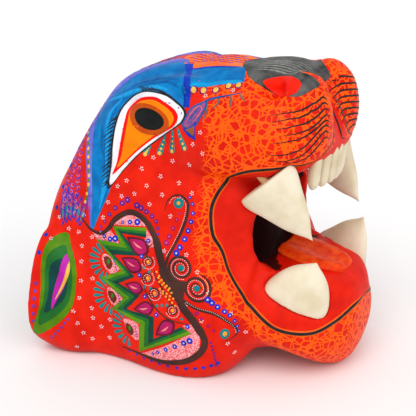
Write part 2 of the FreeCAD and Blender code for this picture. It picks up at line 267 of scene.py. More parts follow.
BLUE, BLUE_SHADE = (2, 124, 192), (0, 98, 166)
BROW_FACING = (-0.8, 0.1, 0.6)
SIDE_FACING = (-0.81, -0.45, 0.36)
BROW = [(-81, 74, 103), (-75, 76, 128), (-72, 79, 148), (-66, 81, 166), (-58, 85, 180), (-48, 87, 189),
        (-42, 78, 202), (-37, 65, 214), (-30, 51, 221), (-22, 36, 226), (-18, 23, 226), (-30, 15, 227),
        (-46, 9, 219), (-51, 7, 203), (-52, 13, 203), (-54, 21, 208), (-55, 31, 210), (-53, 44, 208),
        (-52, 53, 202), (-55, 59, 193), (-60, 61, 186), (-66, 61, 172), (-71, 61, 153), (-75, 61, 139),
        (-79, 68, 119)]
RIM_WIDTHS = (1, 4, 5, 7, 8, 11, 13, 14, 14, 15, 9, 3)
RIM_TURN = 14  # the rim turns forwards by this many degrees a step, past the fifth step
VIOLET_INNER = [Vector(p) for p in BROW[:10] + [(-18, 29, 226), (-19, 24, 226)]]
BROW_LIGHT = [[(-42, 86, 192), (-46, 73, 199), (-49, 61, 205), (-50, 50, 210), (-51, 40, 213),
               (-52, 30, 214)],
              on_left((68, 172), (71, 180), (72, 190), (64, 201)),
              on_left((66, 150), (67, 164), (68, 177), (66, 190)),
              on_left((69, 120), (67, 134), (66, 150)),
              [(-52, 22, 214), (-51, 34, 215), (-50, 46, 213)]]
BROW_DARK = [[(-46, 60, 212), (-45, 46, 219), (-44, 32, 223), (-45, 18, 221)],
             [(-48, 52, 213), (-48, 38, 219), (-48, 26, 220), (-48, 16, 215)],
             [(-48, 13, 218), (-49, 10, 210), (-51, 8, 204)],
             [(-70, 68, 156), (-64, 72, 170), (-56, 76, 182)]]
LASHES_ABOVE = [(-53, 15, 207), (-53, 22, 210), (-53, 29, 212), (-52, 38, 212), (-51, 45, 210)]
LASHES_BEHIND = on_left((64, 189), (65, 182), (64, 173), (63, 164), (63, 154), (63, 142))
painted = []  # everywhere that has pattern on it, for the small flowers to keep clear of


def on_wood(point):
    """The nearest place on the head and the way it faces there."""
    place, facing, _, _ = head_skin.find_nearest(point)
    return place, facing


def flowing(points, step, closed=False):
    """Evenly spaced points on a smooth line through the given ones, in mm."""
    points = [Vector(p) for p in points]
    count = len(points)
    spans = count if closed else count - 1
    drawn = []
    for i in range(spans):
        if closed:
            before, start, end, after = (points[(i + k) % count] for k in (-1, 0, 1, 2))
        else:
            before, start, end, after = (points[min(max(i + k, 0), count - 1)] for k in (-1, 0, 1, 2))
        pieces = max(1, round((end - start).length / step))
        for k in range(pieces):
            t = k / pieces
            pull = (end - before) * t
            bend = (2 * before - 5 * start + 4 * end - after) * t * t
            twist = (3 * start - before - 3 * end + after) * t ** 3
            drawn.append(0.5 * (2 * start + pull + bend + twist))
    return drawn if closed else drawn + [points[-1]]


def stroke(build, points, width, lift=0.15, tip=0.25, root=0.25, step=1.3):
    """One pull of a brush: a ribbon on the wood, narrower over its first (root) and last (tip) share."""
    line = [p * MM for p in flowing(points, step)]
    last = len(line) - 1
    ribbon = bmesh.ops.create_grid(build, x_segments=2, y_segments=last, size=1.0)["verts"]
    for vertex in ribbon:
        along, across = (vertex.co.y + 1) / 2, vertex.co.x
        i = round(along * last)
        middle, facing = on_wood(line[i])
        run = line[min(i + 1, last)] - line[max(i - 1, 0)]
        side = run.cross(facing).normalized()
        narrow = min(1.0, along / root if root else 1.0, (1 - along) / tip if tip else 1.0)
        half = width / 2 * max(0.12, narrow ** 0.7)
        place, facing = on_wood(middle + side * (across * half * MM))
        vertex.co = place + facing * (lift + (0.05 if across == 0 else 0)) * MM
    painted.extend(line[::3])


def patch(build, outline, facing, lift, smooth=True, edge=2.6):
    """A filled field of paint, laid on the wood from the side that it faces."""
    facing = Vector(facing).normalized()
    turn = facing.to_track_quat("Z", "Y").to_matrix()
    ring = flowing(outline, edge, closed=True) if smooth else [Vector(p) for p in outline]
    flat = [(turn.inverted() @ (p * MM)).to_2d().to_3d() for p in ring]
    area = sum(a.x * b.y - b.x * a.y for a, b in zip(flat, flat[1:] + flat[:1]))
    film = bmesh.new()
    film.faces.new([film.verts.new(p) for p in (flat if area > 0 else flat[::-1])])
    film.normal_update()
    bmesh.ops.triangulate(film, faces=film.faces[:], ngon_method="EAR_CLIP")
    for axis in (0, 1):
        low, high = min(p[axis] for p in flat), max(p[axis] for p in flat)
        cuts = int((high - low) / (edge * MM))
        for k in range(1, cuts + 1):
            level = Vector((0, 0, 0))
            level[axis] = low + (high - low) * k / (cuts + 1)
            across = Vector((1, 0, 0)) if axis == 0 else Vector((0, 1, 0))
            bmesh.ops.bisect_plane(film, geom=film.verts[:] + film.edges[:] + film.faces[:], plane_co=level,
                                   plane_no=across, dist=0.001 * MM)
    bmesh.ops.triangulate(film, faces=film.faces[:])
    depth = sum((turn.inverted() @ (p * MM)).z for p in ring) / len(ring)
    for vertex in film.verts:
        start = turn @ Vector((vertex.co.x, vertex.co.y, depth + 60 * MM))
        place, out, _, _ = head_skin.ray_cast(start, -facing)
        if place is None:
            place, out = on_wood(start - facing * 60 * MM)
        vertex.co = place + out * lift * MM
        painted.append(place)
    sheet = bpy.data.meshes.new("film")
    film.to_mesh(sheet)
    film.free()
    build.from_mesh(sheet)
    bpy.data.meshes.remove(sheet)


def dot(build, centre, radius, lift=0.0, stretch=1.0, lean=0.0, segments=12):
    """One touch of a round brush, slightly domed, stretched along a line turned by lean degrees."""
    place, facing = on_wood(Vector(centre) * MM)
    turn = facing.to_track_quat("Z", "Y").to_matrix().to_4x4() @ Matrix.Rotation(math.radians(lean), 4, "Z")
    depth = (0.45 + lift) * MM
    seat = Matrix.Translation(place + facing * (0.22 + lift) * MM - facing * depth / 2) @ turn
    bmesh.ops.create_cone(build, cap_ends=True, segments=segments, radius1=radius * MM,
                          radius2=radius * 0.88 * MM, depth=depth,
                          matrix=seat @ Matrix.Diagonal((1, stretch, 1, 1)))
    painted.append(place)


def both_sides(build):
    """Adds the same paint on the other side of the head."""
    copied = bmesh.ops.duplicate(build, geom=build.verts[:] + build.edges[:] + build.faces[:])["geom"]
    bmesh.ops.scale(build, vec=(-1, 1, 1), verts=[g for g in copied if isinstance(g, bmesh.types.BMVert)])
    bmesh.ops.reverse_faces(build, faces=[g for g in copied if isinstance(g, bmesh.types.BMFace)])


def lay_paint(name, build, material, film=0.45, mirrored=True):
    """Finishes a layer of paint as a thin closed skin that is let into the wood."""
    if mirrored:
        both_sides(build)
    layer = finished(name, build)
    layer.data.materials.append(material)
    if film:
        body = layer.modifiers.new("film", "SOLIDIFY")
        body.thickness = film * MM
        body.offset = -1
    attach(layer, "root")
    return layer


brow = bmesh.new()
patch(brow, BROW, BROW_FACING, 0.14, edge=2.0)
blue = coat("brow_blue", BLUE, BLUE_SHADE, roughness=0.38, patch_size=9 * MM)
lay_paint("brow_blue_field", brow, blue)

rim = bmesh.new()
rim_turns = [math.radians(RIM_TURN * max(0, step - 4)) for step in range(len(RIM_WIDTHS))]
VIOLET_OUTER = [inner + Vector((math.sin(turn), math.cos(turn), 0)) * width
                for inner, turn, width in zip(VIOLET_INNER, rim_turns, RIM_WIDTHS)]
for a, b, c, d in zip(VIOLET_OUTER, VIOLET_OUTER[1:], VIOLET_INNER[1:], VIOLET_INNER):
    patch(rim, [a, b, c, d], BROW_FACING, 0.2, smooth=False)
lay_paint("brow_violet_rim", rim, coat("brow_violet", (128, 120, 214), (92, 92, 196)))

streaks = bmesh.new()
for line in BROW_LIGHT:
    stroke(streaks, line, 4.2, 0.22, tip=0.5, root=0.5)
lay_paint("brow_light_streaks", streaks, coat("brow_light_blue", (22, 158, 222), (10, 138, 206),
                                              patch_size=4 * MM))
streaks = bmesh.new()
for line in BROW_DARK:
    stroke(streaks, line, 4.0, 0.22, tip=0.5, root=0.5)
lay_paint("brow_dark_streaks", streaks,
          coat("brow_dark_blue", (0, 104, 172), (0, 86, 152), patch_size=4 * MM))

black = coat("line_black", (26, 28, 30), (44, 44, 46), roughness=0.4, patch_size=5 * MM)
lashes = bmesh.new()
hand = random.Random(7)
for row, sweep, spacing in ((LASHES_ABOVE, Vector((0, 8.0, 5.0)), 1.9),
                            (LASHES_BEHIND, Vector((0, 6.4, -6.2)), 3.1)):
    for base in flowing(row, spacing):
        reach = hand.uniform(0.7, 1.15)
        bend = Vector((0, hand.uniform(-0.4, 0.4), hand.uniform(-0.4, 0.4)))
        stroke(lashes, [base - sweep * 0.1, base + sweep * 0.5 * reach + bend, base + sweep * reach],
               0.9 if spacing < 2 else 1.5, 0.3, tip=0.9, root=0.1, step=1.8)
lay_paint("brow_lashes", lashes, black)


# ---------------------------------------------------------------- eyes
# Each eye is a low carved bulge with painted rings: a black edge, white,
# red, then an orange eye with a brown ring and a glossy black pupil.

EYE_FACING = (-0.92, -0.12, 0.38)
EYE_EDGE = [(-74, 63, 137), (-70, 63, 154), (-65, 64, 173), (-59, 64, 188), (-53, 62, 196), (-50, 55, 204),
            (-52, 44, 210), (-55, 31, 212), (-54, 21, 210), (-52, 14, 205), (-51, 9, 201), (-54, 6, 198),
            (-56, 8, 192), (-58, 18, 184), (-60, 29, 175), (-65, 41, 164), (-70, 52, 151)]
PUPIL_MIDDLE = (34, 190)


def shrunk(outline, share):
    """The same outline, drawn in by a share of the way to the pupil."""
    middle = on_left(PUPIL_MIDDLE)[0]
    return [Vector(p).lerp(middle, share) for p in outline]


def oval(y, z, half_length, half_height, lean):
    """A leaning oval on the side of the head."""
    turn = math.radians(lean)
    angles = [math.radians(36 * k) for k in range(10)]
    spokes = [(half_length * math.cos(angle), half_height * math.sin(angle)) for angle in angles]
    return on_left(*((y + u * math.cos(turn) - v * math.sin(turn), z + u * math.sin(turn) + v * math.cos(turn))
                     for u, v in spokes))


EYE_RED = on_left((60, 148), (57, 158), (56, 174), (56, 188), (55, 195), (48, 202), (42, 206), (31, 208),
                  (24, 206), (17, 202), (14, 199), (12, 195), (14, 189), (21, 184), (31, 177), (43, 166),
                  (52, 156))
EYE_LAYERS = [("eye_black_edge", EYE_EDGE, black),
              ("eye_white_band", shrunk(EYE_EDGE, 0.06),
               coat("eye_white", (242, 240, 242), (222, 220, 228), 0.35)),
              ("eye_red_band", EYE_RED, coat("eye_red", (255, 16, 4), (240, 8, 4), 0.35)),
              ("eye_orange", shrunk(EYE_RED, 0.13), coat("eye_orange", (255, 138, 0), (252, 122, 0), 0.35)),
              ("eye_brown_ring", oval(35, 191.5, 17, 11.3, 6),
               coat("eye_brown", (206, 84, 8), (180, 66, 8), 0.35)),
              ("eye_pupil", oval(34, 192, 12.6, 7.8, 6),
               coat("pupil_black", (24, 28, 26), (14, 16, 14), 0.22, brush=0.5))]
for layer, (name, outline, material) in enumerate(EYE_LAYERS):
    field = bmesh.new()
    patch(field, outline, EYE_FACING, 0.3 + 0.1 * layer)
    lay_paint(name, field, material, film=0.7)


# ---------------------------------------------------------------- bridge of the snout
# An orange strip with coloured dashes runs down the middle to the nose.
# Beside it lie a dark blue bar, a blue band and a row of gold beads.

SNOUT_TOP = 227
STRIP = [(x, y, SNOUT_TOP) for x, y in ((-25, 22), (-23, 8), (-20, -8), (-15, -20), (0, -15), (15, -20),
                                        (20, -8), (23, 8), (25, 22), (12, 32), (0, 36), (-12, 32))]
BAND = [(-46, 9, 217), (-25, 22, 225), (-22, 0, 227), (-15, -20, 228), (-21, -25, 227), (-31, -29, 221),
        (-38, -12, 221)]
BAR = [(-38, 17, 227), (-21, 26, 225), (-17, 21, 226), (-46, 7, 217), (-51, 5, 202), (-51, 10, 202),
       (-48, 12, 217)]
GOLD_BEADS = on_left((5, 214), (-2, 214), (-11, 215), (-19, 218), (-26, 219))

deep_blue = coat("deep_blue", (24, 62, 190), (14, 40, 160))
violet_paint = coat("violet", (126, 70, 176), (96, 46, 150))
gold = coat("gold", (244, 196, 90), (226, 168, 60), 0.35)
white = coat("flower_white", (248, 238, 240), (232, 220, 226), 0.5)
field = bmesh.new()
patch(field, STRIP, (0, 0, 1), 0.14)
lay_paint("bridge_orange_strip", field, coat("bridge_orange", (252, 122, 40), (246, 92, 20)), mirrored=False)
field = bmesh.new()
patch(field, BAND, (-0.6, 0, 0.8), 0.2, smooth=False)
lay_paint("bridge_blue_band", field, blue)
field = bmesh.new()
patch(field, BAR, (-0.8, -0.2, 0.6), 0.26, smooth=False)
lay_paint("bridge_dark_bar", field, deep_blue)
streaks = bmesh.new()
stroke(streaks, on_left((8, 217), (-11, 219), (-28, 221)), 4.0, 0.3, tip=0.1, root=0.1)
lay_paint("bridge_cyan_edge", streaks, coat("bridge_cyan", (8, 160, 222), (0, 140, 206)))
streaks = bmesh.new()
stroke(streaks, [(-25, 21, 225), (-23, 2, 227), (-17, -18, 228)], 2.0, 0.3, tip=0.1, root=0.1)
lay_paint("bridge_royal_edge", streaks, deep_blue)

dashes = {"red": bmesh.new(), "blue": bmesh.new(), "violet": bmesh.new()}
for row in range(13):
    y = 30 - row * 3.7
    for column, x in enumerate((-17, -11.5, -6, 0, 6, 11.5, 17)):
        if abs(x) > 19 - 0.2 * (30 - y) or (y > 24 and abs(x) > 8):
            continue
        colour = ("red", "blue", "red", "violet")[(row + column) % 4]
        shift = hand.uniform(-0.6, 0.6)
        stroke(dashes[colour], [(x + shift, y + 2, 227), (x + 0.9, y, 227),
                                (x + shift + 2.2, y - 2.4, 227)], 1.7, 0.28,
               tip=0.4, root=0.4)
lay_paint("bridge_red_dashes", dashes["red"], coat("dash_red", (226, 44, 20), (206, 30, 14)), mirrored=False)
lay_paint("bridge_blue_dashes", dashes["blue"], deep_blue, mirrored=False)
lay_paint("bridge_violet_dashes", dashes["violet"], violet_paint, mirrored=False)

rims, beads = bmesh.new(), bmesh.new()
for centre in GOLD_BEADS:
    dot(rims, centre, 3.1, stretch=1.12, segments=16)
    dot(beads, centre, 2.3, lift=0.12, stretch=1.15, segments=16)
lay_paint("bead_purple_rims", rims, coat("bead_purple", (120, 24, 110), (96, 14, 90)), film=0)
lay_paint("bead_gold_centres", beads, gold, film=0)


# ---------------------------------------------------------------- nose
# The nose is a carved leather pad in dry-brushed greys with two red
# nostrils; below it a black line marks the valley between the muzzle pads.

NOSE_TOP = [(x, y, SNOUT_TOP) for x, y in (
    (0, -14), (-12, -18), (-20, -24), (-25, -31), (-24, -40), (-22, -52), (-22, -64), (-23, -74), (-17, -80),
        (-8, -81),
    (0, -80), (8, -79), (13, -72), (20, -66), (26, -60), (28, -50), (27, -40), (25, -31), (20, -24),
    (12, -18))]
NOSE_SIDE = [(-23, -27, 226), (-29, -35, 222), (-31, -44, 219), (-35, -57, 217), (-39, -69, 217),
             (-38, -76, 218), (-31, -81, 221), (-20, -82, 222), (-18, -74, 227), (-19, -62, 229),
             (-19, -50, 229), (-20, -38, 228)]
NOSTRIL = [(-31, -44, 223), (-27, -51, 226), (-25, -59, 227), (-28, -67, 227), (-33, -74, 225),
           (-38, -73, 220), (-37, -64, 216), (-33, -54, 217)]
FAR_NOSTRIL = [(26, -42, 225), (22, -49, 227), (19, -56, 229), (19, -62, 229), (23, -64, 227), (27, -59, 224),
               (28, -50, 224)]
nose_grey = coat("nose_grey", (98, 98, 96), (44, 46, 46), 0.45, patch_size=10 * MM, brush=0.35)
nose_light = coat("nose_light", (150, 150, 146), (112, 112, 108), 0.5, patch_size=3 * MM, brush=0.4)
field = bmesh.new()
patch(field, NOSE_TOP, (0, 0, 1), 0.2, edge=2.0)
patch(field, NOSE_SIDE, SIDE_FACING, 0.26, edge=1.5)
lay_paint("nose_leather", field, nose_grey, mirrored=False)
field = bmesh.new()
patch(field, NOSTRIL, SIDE_FACING, 0.6, edge=1.3)
patch(field, FAR_NOSTRIL, (0.75, 0, 0.65), 0.55, edge=1.4)
lay_paint("nostril_red", field, coat("nostril_red_paint", (255, 36, 8), (236, 22, 6), 0.4), mirrored=False)
streaks = bmesh.new()
for k in range(7):
    x = -2 - 3.6 * k
    stroke(streaks, [(x, -24 - k * 1.5, 232), (x - 1.0, -40, 234), (x - 0.6, -58, 232), (x - 1.5, -70, 228)],
           1.6, 0.3, tip=0.5, root=0.5)
stroke(streaks, [(-27, -66, 228), (-20, -72, 227), (-8, -77, 225)], 1.8, 0.3, tip=0.4)
lay_paint("nose_dry_brush", streaks, nose_light, mirrored=False)

line = bmesh.new()
stroke(line, [(0.5, -80, 214), (0.8, -84, 204), (1.5, -88, 192), (3.5, -93, 180),
              (10, -94, 177)], 2.0, 0.2, tip=0.4)
lay_paint("valley_line", line, black, mirrored=False)
edge_line = bmesh.new()
stroke(edge_line, [(-4, -83, 213), (-7, -88, 203), (-10, -92, 192), (-13, -93, 183), (-20, -93, 178),
                   (-29, -91, 175)],
       1.1, 0.2, tip=0.1, root=0.3)
lay_paint("pad_grey_edge", edge_line, coat("edge_grey", (110, 84, 80), (84, 70, 70)))


# ---------------------------------------------------------------- lips and whiskers
# A thick black line follows the lips and thins out at both ends. Eight
# brushed whiskers sweep over each muzzle pad.

LIP = on_left(*LIP_SIDE[:18]) + [Vector((0, -118, 61))]
WHISKER_STARTS = on_left((-59, 205), (-61, 201), (-66, 197), (-70, 193), (-65, 188), (-61, 180),
                         (-64, 176), (-73, 174))
FAR_WHISKER_TOP = [(2, -82, 218), (13, -83, 221), (20, -86, 220), (34, -84, 214), (46, -72, 206)]
FAR_WHISKER_MIDDLE = [(3, -91, 200), (8, -92, 204), (24, -94, 202), (40, -85, 196), (53, -68, 189)]
FAR_WHISKER_FOOT = [(14, -92, 181), (18, -93, 184), (27, -96, 183), (41, -82, 175), (51, -71, 168)]
FAR_WHISKER_COUNT = 9
WHISKER_ENDS = [(-26.5, -92.5, 215 - 4 * k) for k in range(8)]
lip_glow = bmesh.new()
stroke(lip_glow, LIP, 4.6, 0.12, tip=0.05, root=0.15)
lay_paint("lip_orange_edge", lip_glow, coat("lip_orange", (250, 104, 20), (240, 84, 10)))
lip_line = bmesh.new()
stroke(lip_line, LIP, 2.4, 0.24, tip=0.05, root=0.15)
lay_paint("lip_line", lip_line, black)
whiskers = bmesh.new()
for start, end in zip(map(Vector, WHISKER_STARTS), map(Vector, WHISKER_ENDS)):
    run = end - start
    rise = [(0, 0), (0.25, 0.02), (0.5, 0.25), (0.7, 0.7), (0.85, 1.14), (0.93, 1.16), (1, 1)]
    bow = [Vector((start.x + run.x * t, start.y + run.y * t, start.z + run.z * share)) for t, share in rise]
    stroke(whiskers, bow, 1.35, 0.2, tip=0.12, root=0.6)
for k in range(FAR_WHISKER_COUNT):  # each one lies on a curve through the top, middle and lowest whisker
    t = k / (FAR_WHISKER_COUNT - 1)
    near_top, near_middle, near_foot = 2 * t * t - 3 * t + 1, 4 * t - 4 * t * t, 2 * t * t - t
    bow = [Vector(top) * near_top + Vector(middle) * near_middle + Vector(foot) * near_foot
           for top, middle, foot in zip(FAR_WHISKER_TOP, FAR_WHISKER_MIDDLE, FAR_WHISKER_FOOT)]
    stroke(whiskers, bow if k < FAR_WHISKER_COUNT - 1 else bow[:4], 1.35, 0.2, tip=0.6, root=0.12)
lay_paint("whiskers", whiskers, black, mirrored=False)


# ---------------------------------------------------------------- patterns by the eye
# Between eye and muzzle: a swirl with a blue and pink edge, a blue diamond
# with a brown heart, four teal rays with gold beads and some grey licks.

teal = coat("teal", (0, 138, 140), (0, 116, 122))
pink = coat("pink", (236, 120, 140), (222, 90, 120))
SWIRL = on_left((8, 190), (6, 196), (3, 202), (-3, 206), (-8, 207), (-8, 202), (-6, 197), (-4, 192),
                (3, 189))
field = bmesh.new()
patch(field, SWIRL, EYE_FACING, 0.16, edge=1.6)
lay_paint("swirl_field", field, coat("swirl_mauve", (166, 84, 120), (70, 70, 150), patch_size=2.5 * MM))
lines = bmesh.new()
stroke(lines, SWIRL + SWIRL[:1], 1.2, 0.26, tip=0, root=0)
stroke(lines, [(-49, -6, 208), (-47, -12, 211), (-44, -22, 214), (-40, -32, 216)], 1.8, 0.26, tip=0.7, root=0)
stroke(lines, on_left((4, 192), (1, 197), (-3, 202)), 0.9, 0.28)
lay_paint("swirl_blue_lines", lines, coat("swirl_blue", (30, 96, 168), (20, 70, 140)))
lines = bmesh.new()
stroke(lines, on_left((5, 191), (3, 197), (-2, 204), (-6, 203), (-4, 198), (-1, 193)), 0.8, 0.34)
lay_paint("swirl_pink_lines", lines, pink)
licks = bmesh.new()
for lick in (on_left((-15, 212), (-17, 208), (-14, 204)), on_left((-24, 213), (-27, 209), (-27, 206)),
             on_left((-9, 206), (-10, 200), (-9, 195)), [(-41, -30, 215), (-43, -34, 212), (-44, -37, 210)]):
    stroke(licks, lick, 1.6, 0.2, tip=0.5)
lay_paint("grey_licks", licks, coat("lick_grey", (130, 110, 104), (104, 92, 92)))
field = bmesh.new()
patch(field, on_left((7, 188), (0, 190), (-4, 195), (-4, 189), (-6, 182), (1, 184)), EYE_FACING,
      0.3, smooth=False, edge=1.6)
lay_paint("diamond_blue", field, deep_blue)
field = bmesh.new()
patch(field, on_left((4.5, 187.8), (-1, 190), (-3.2, 192), (-3.6, 189), (-4, 184.5)),
      EYE_FACING, 0.42, smooth=False,
      edge=1.6)
lay_paint("diamond_heart", field, coat("diamond_brown", (160, 100, 56), (130, 78, 44)))

rays, ray_beads = bmesh.new(), bmesh.new()
for near, far in (((-61, 32, 172), (-64, 36, 165)), ((-58, 21, 182), (-62, 25, 166)), ((-57, 16, 186),
        (-59, 15, 168)),
                  ((-57, 12, 188), (-62, 2, 173))):
    near, far = Vector(near), Vector(far)
    stroke(rays, [near, (near + far) / 2, far], 5.2, 0.16, tip=0.12, root=0.9)
    for share, radius in ((0.3, 0.6), (0.5, 0.9), (0.7, 1.2), (0.9, 1.7)):
        dot(ray_beads, near.lerp(far, share), radius, lift=0.1)
lay_paint("ray_teal", rays, teal)
lay_paint("ray_gold_beads", ray_beads, gold, film=0)


# ---------------------------------------------------------------- butterfly wing
# A dark brown line bends down the cheek like a butterfly's body, with two
# feelers and spirals in front and a zigzag green wing with petals behind.

WING_OUTER = on_left((28, 113), (56, 110), (48, 98), (69, 98), (45, 78), (64, 69), (42, 57), (53, 46),
                     (26, 40), (28, 16), (-17, 42))
WING_INNER = on_left((27, 106), (48, 106), (31, 92), (53, 89), (33, 76), (47, 68), (27, 63), (39, 49),
                     (14, 49), (14, 31), (-9, 46))
CHEEK_FACING = (-1, 0, 0)
BODY_LINE = [(-83, 84, 113), (-82, 75, 105), (-82, 66, 103), (-80, 60, 107), (-78, 54, 116), (-75, 44, 122),
             (-75, 35, 121), (-76, 26, 115), (-78, 19, 106), (-80, 15, 97), (-82, 10, 87), (-83, 3, 81),
             (-84, -3, 76), (-86, -5, 69), (-87, -9, 61), (-87, -18, 52), (-87, -25, 43), (-86, -27, 35),
             (-87, -23, 26), (-88, -14, 19), (-90, -4, 15), (-91, 10, 13), (-91, 26, 14), (-88, 45, 15)]
PINK_FIELDS = [on_left((56, 111), (49, 118), (42, 121), (34, 120), (28, 114)),
               on_left((73, 103), (65, 103), (58, 107), (49, 98), (69, 98)),
               on_left((28, 112), (22, 107), (19, 101), (23, 99), (28, 104)),
               on_left((26, 15), (5, 27), (6, 14)),
               on_left((5, 27), (-17, 42), (-24, 41), (-23, 30), (-15, 21), (6, 14)),
               on_left((-17, 42), (-10, 47), (-18, 50), (-24, 41))]
wing_colours = [("wing_light_green", 0.0, 0.38, (96, 150, 14), (76, 132, 10)),
                ("wing_mid_green", 0.36, 0.68, (38, 118, 40), (24, 98, 34)),
                ("wing_dark_green", 0.66, 1.0, (16, 74, 62), (12, 58, 52))]
for name, near, far, light, dark_shade in wing_colours:
    wing = bmesh.new()
    out = [Vector(a).lerp(Vector(b), near) for a, b in zip(WING_OUTER, WING_INNER)]
    inn = [Vector(a).lerp(Vector(b), far) for a, b in zip(WING_OUTER, WING_INNER)]
    for a, b, c, d in zip(out, out[1:], inn[1:], inn):
        patch(wing, [a, b, c, d], CHEEK_FACING, 0.22, smooth=False)
    lay_paint(name, wing, coat(name + "_paint", light, dark_shade))

pink_speckle = coat("pink_speckle", (236, 112, 112), (224, 88, 92))
nodes, links = pink_speckle.node_tree.nodes, pink_speckle.node_tree.links
shader = nodes["Principled BSDF"]
grains = nodes.new("ShaderNodeTexVoronoi")
grains.inputs["Scale"].default_value = 1 / (0.85 * MM)
links.new(nodes["Texture Coordinate"].outputs["Object"], grains.inputs["Vector"])
grain = nodes.new("ShaderNodeMath")
grain.operation = "LESS_THAN"
grain.inputs[1].default_value = 0.42
links.new(grains.outputs["Distance"], grain.inputs[0])
grainy = nodes.new("ShaderNodeMix")
grainy.data_type = "RGBA"
grainy.inputs["B"].default_value = paint_colour(248, 196, 204)
links.new(shader.inputs["Base Color"].links[0].from_socket, grainy.inputs["A"])
links.new(grain.outputs[0], grainy.inputs["Factor"])
links.new(grainy.outputs["Result"], shader.inputs["Base Color"])
fields = bmesh.new()
for outline in PINK_FIELDS:
    patch(fields, outline, CHEEK_FACING, 0.14, smooth=False)
lay_paint("wing_pink_fields", fields, pink_speckle)

brown = coat("body_brown", (78, 46, 40), (60, 36, 32))
body = bmesh.new()
stroke(body, BODY_LINE[:9], 4.2, 0.3, tip=0, root=0.5)
stroke(body, BODY_LINE[7:17], 6.0, 0.32, tip=0, root=0.15)
stroke(body, BODY_LINE[15:], 5.0, 0.3, tip=0.6, root=0)
patch(body, on_left((12, 92), (8, 84), (4, 78), (-5, 80), (-11, 79), (-9, 72), (-8, 62), (-1, 66), (6, 74),
                    (13, 83)), CHEEK_FACING, 0.36)
lay_paint("butterfly_body", body, brown)


def spiral(centre, start_radius, end_radius, turns, start_angle, way=1):
    """Points on a flat spiral on the cheek, from the outside in. Angles in degrees, from the back upwards."""
    count = round(turns * 12)
    points = []
    for k in range(count + 1):
        radius = start_radius + (end_radius - start_radius) * k / count
        angle = math.radians(start_angle) + way * 2 * math.pi * turns * k / count
        points.append((centre[0], centre[1] + radius * math.cos(angle), centre[2] + radius * math.sin(angle)))
    return points


FEELER_UP = on_left((9, 83), (8, 90), (7, 96), (3, 105), (-1, 116), (-3, 127), (-2, 135), (3, 139),
                    (9, 139), (14, 134), (15, 127))
FEELER_DOWN = on_left((-7, 68), (-13, 64), (-22, 61), (-32, 59), (-39, 55), (-45, 48), (-46, 42),
                      (-43, 38), (-40, 37))
SMALL_SPIRALS = on_left((23, 89), (22, 77), (15, 67), (-1, 57))
SPIRAL_UP, SPIRAL_DOWN = (-81, -4, 89), (-81, -18, 76)
feelers = bmesh.new()
stroke(feelers, FEELER_UP, 2.0, 0.26, tip=0.4, root=0.1)
stroke(feelers, FEELER_DOWN, 2.2, 0.26, tip=0.4, root=0.1)
stroke(feelers, spiral(SPIRAL_UP, 10.5, 2.4, 2.3, 250), 1.9, 0.26, tip=0.3, root=0.1, step=1.0)
stroke(feelers, spiral(SPIRAL_DOWN, 11.5, 2.4, 2.3, 100), 1.9, 0.26, tip=0.3, root=0.1, step=1.0)
for centre in SMALL_SPIRALS:
    stroke(feelers, spiral(centre, 4.6, 1.8, 1.4, 300), 1.1, 0.26, tip=0.3, step=0.9)
VINES = [on_left((21, 103), (26, 96), (20, 88)),
         on_left((17, 84), (16, 80), (11, 74), (6, 68), (1, 62), (-4, 59)),
         on_left((25, 79), (24, 70), (19, 62), (13, 56), (5, 51), (-4, 49), (-16, 49))]
for vine in VINES:
    stroke(feelers, vine, 1.1, 0.26, tip=0.3)
lay_paint("feelers_and_spirals", feelers, brown)

stitches = bmesh.new()


def stitched(points, spacing=1.5, radius=0.34):
    """A row of tiny white dots along a line."""
    for place in flowing(points, spacing):
        dot(stitches, place, radius, lift=0.16, segments=6)


stitched([(x, y + 1.7, z - 0.4) for x, y, z in FEELER_UP[2:8]])
stitched([(x, y + 1.5, z + 1.0) for x, y, z in FEELER_DOWN[1:7]])
stitched(on_left((5, 137.5), (10, 137), (12, 133)))
stitched(spiral(SPIRAL_UP, 8.8, 2.6, 1.9, 250))
stitched(spiral(SPIRAL_DOWN, 9.7, 2.6, 1.9, 100))
for centre in SMALL_SPIRALS:
    stitched(spiral(centre, 3.4, 2.2, 0.9, 300), spacing=1.3)
    stitched(spiral(centre, 5.6, 5.6, 0.55, 130), spacing=1.4)

magenta = coat("petal_magenta", (186, 26, 100), (160, 16, 84))
petals, petal_rims, petal_hearts = bmesh.new(), bmesh.new(), bmesh.new()
for tip_point, base in (((-79, 43, 104), (-81, 24, 95)), ((-84, 46, 88), (-85, 28, 82)), ((-87, 41, 69),
        (-88, 25, 67)),
                        ((-90, 32, 51), (-90, 15, 56)), ((-92, 12, 35), (-90, -3, 48))):
    tip_point, base = Vector(tip_point), Vector(base)
    run = base - tip_point
    side = Vector((0, -run.z, run.y)) * 0.3
    shoulder, belly = tip_point + run * 0.35, tip_point + run * 0.72
    leaf = [tip_point, tip_point, shoulder + side * 0.72, belly + side, base + side * 0.2,
            base - side * 0.2, belly - side, shoulder - side * 0.72]
    patch(petal_rims, leaf, CHEEK_FACING, 0.3)
    middle = tip_point + run * 0.58
    patch(petals, [middle + (p - middle) * 0.78 for p in leaf], CHEEK_FACING, 0.4)
    stroke(petal_hearts, [tip_point + run * 0.3, tip_point + run * 0.5 + side * 0.1, belly],
           1.7, 0.5, tip=0.5, root=0.6)
lay_paint("petal_dark_rims", petal_rims, coat("petal_rim", (104, 22, 44), (84, 16, 36)))
lay_paint("petals_magenta", petals, magenta, film=0.55)
lay_paint("petal_pink_hearts", petal_hearts, coat("petal_heart", (244, 150, 130), (232, 110, 120)), film=0.6)

